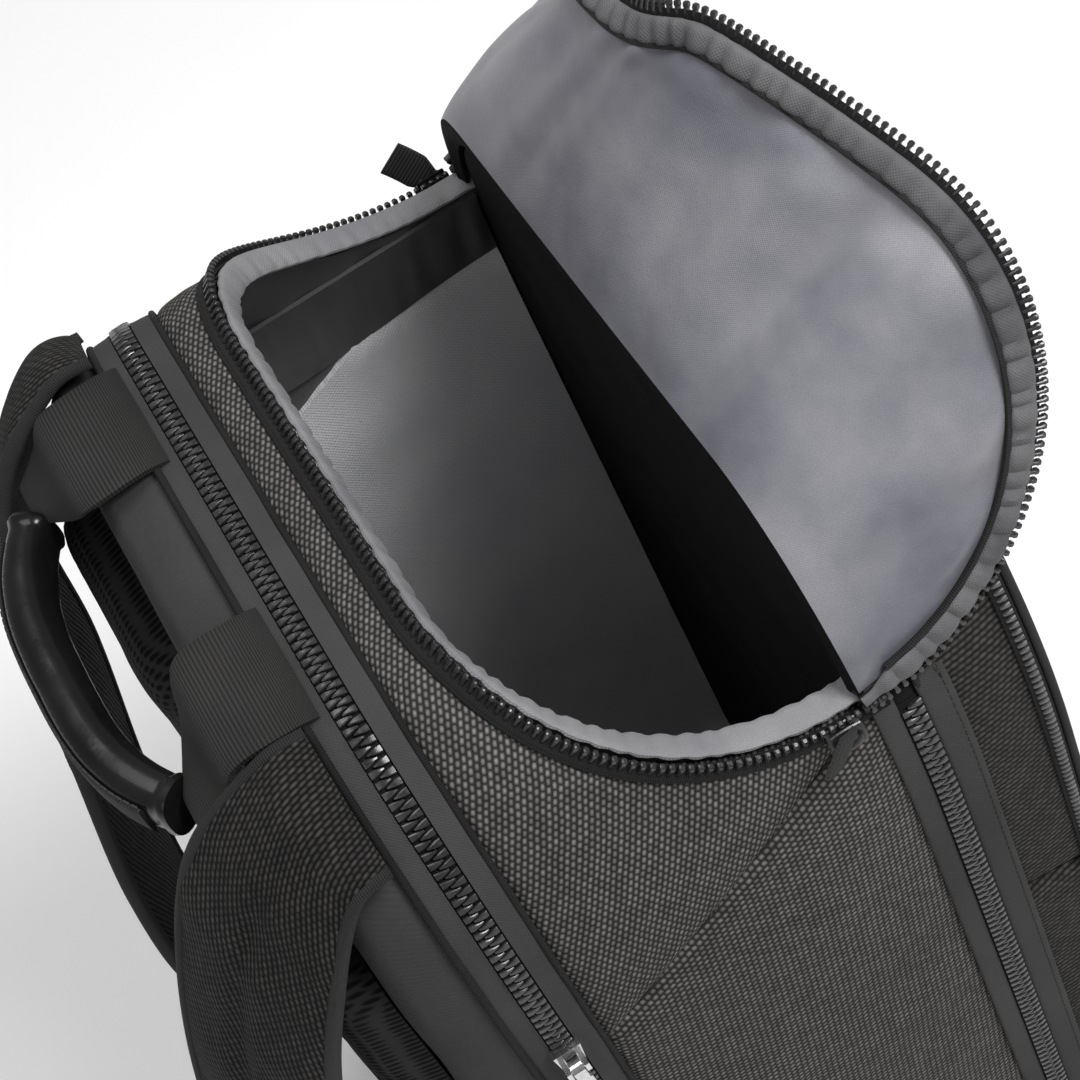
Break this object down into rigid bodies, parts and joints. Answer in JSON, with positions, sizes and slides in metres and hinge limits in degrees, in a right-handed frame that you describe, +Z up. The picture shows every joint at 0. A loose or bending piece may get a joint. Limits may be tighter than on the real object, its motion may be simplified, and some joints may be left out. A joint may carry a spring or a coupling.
{
  "type": "camera backpack with its top lid open",
  "caption": "Padded backpack with an arched top, its zipped lid thrown open over a deep compartment, with a carrying handle and two shoulder straps.",
  "frame": {"origin": "on the flat base under the main compartment, in the middle of the bag's width", "axes": "+Z up, -Y to the front of the bag, +Y to the wearer's side, X across the bag"},
  "size_m": [0.3226, 0.3582, 0.5728],
  "materials": {
    "weave": "coarse basket weave, matt charcoal",
    "smooth_fabric": "fine smooth woven fabric, matt dark grey",
    "lining": "satin lining, light blue-grey",
    "binding": "soft woven binding, light grey",
    "webbing": "fine ribbed webbing, near black",
    "mesh": "open air mesh, black",
    "leather": "glossy black leather with fine grain",
    "zip": "moulded teeth on woven tape, gunmetal grey",
    "nickel": "polished nickel",
    "black_metal": "polished black metal",
    "plastic": "matt black moulded plastic"
  },
  "bodies": {
    "bag": {"main_shell": "weave", "divider_wall": "lining", "front_wall": "lining", "rim_binding": "binding", "rim_zip": "zip", "lid_panel": "lining", "lid_binding": "binding", "lid_zip": "zip", "lid_hinge_band": "weave", "side_band": "smooth_fabric", "side_zip_left": "zip", "side_zip_right": "zip", "front_gusset": "weave", "front_panel": "weave", "front_zip": "zip", "laptop_band_front": "smooth_fabric", "laptop_band_rear": "smooth_fabric", "laptop_zip": "zip", "laptop_band_base": "smooth_fabric", "back_panel": "smooth_fabric", "back_pad_left": "mesh", "back_pad_right": "mesh", "handle_web_left": "webbing", "strap_left": "weave", "strap_adjuster_left": "plastic", "strap_web_left": "webbing", "strap_anchor_left": "webbing", "lid_slider_left": "black_metal", "lid_pull_left": "webbing", "handle_web_right": "webbing", "strap_right": "weave", "strap_adjuster_right": "plastic", "strap_web_right": "webbing", "strap_anchor_right": "webbing", "lid_slider_right": "black_metal", "lid_pull_right": "webbing", "handle_grip": "leather", "laptop_slider": "nickel"},
    "zip_pull": {"laptop_pull": "nickel"}
  },
  "joints": [
    {"name": "zip_pull_hinge", "type": "hinge", "parent": "bag", "child": "zip_pull", "pos_m": [-0.1586, 0.08575, 0.352], "axis": [0, 1, 0], "range_deg": [-5, 170]}
  ]
}
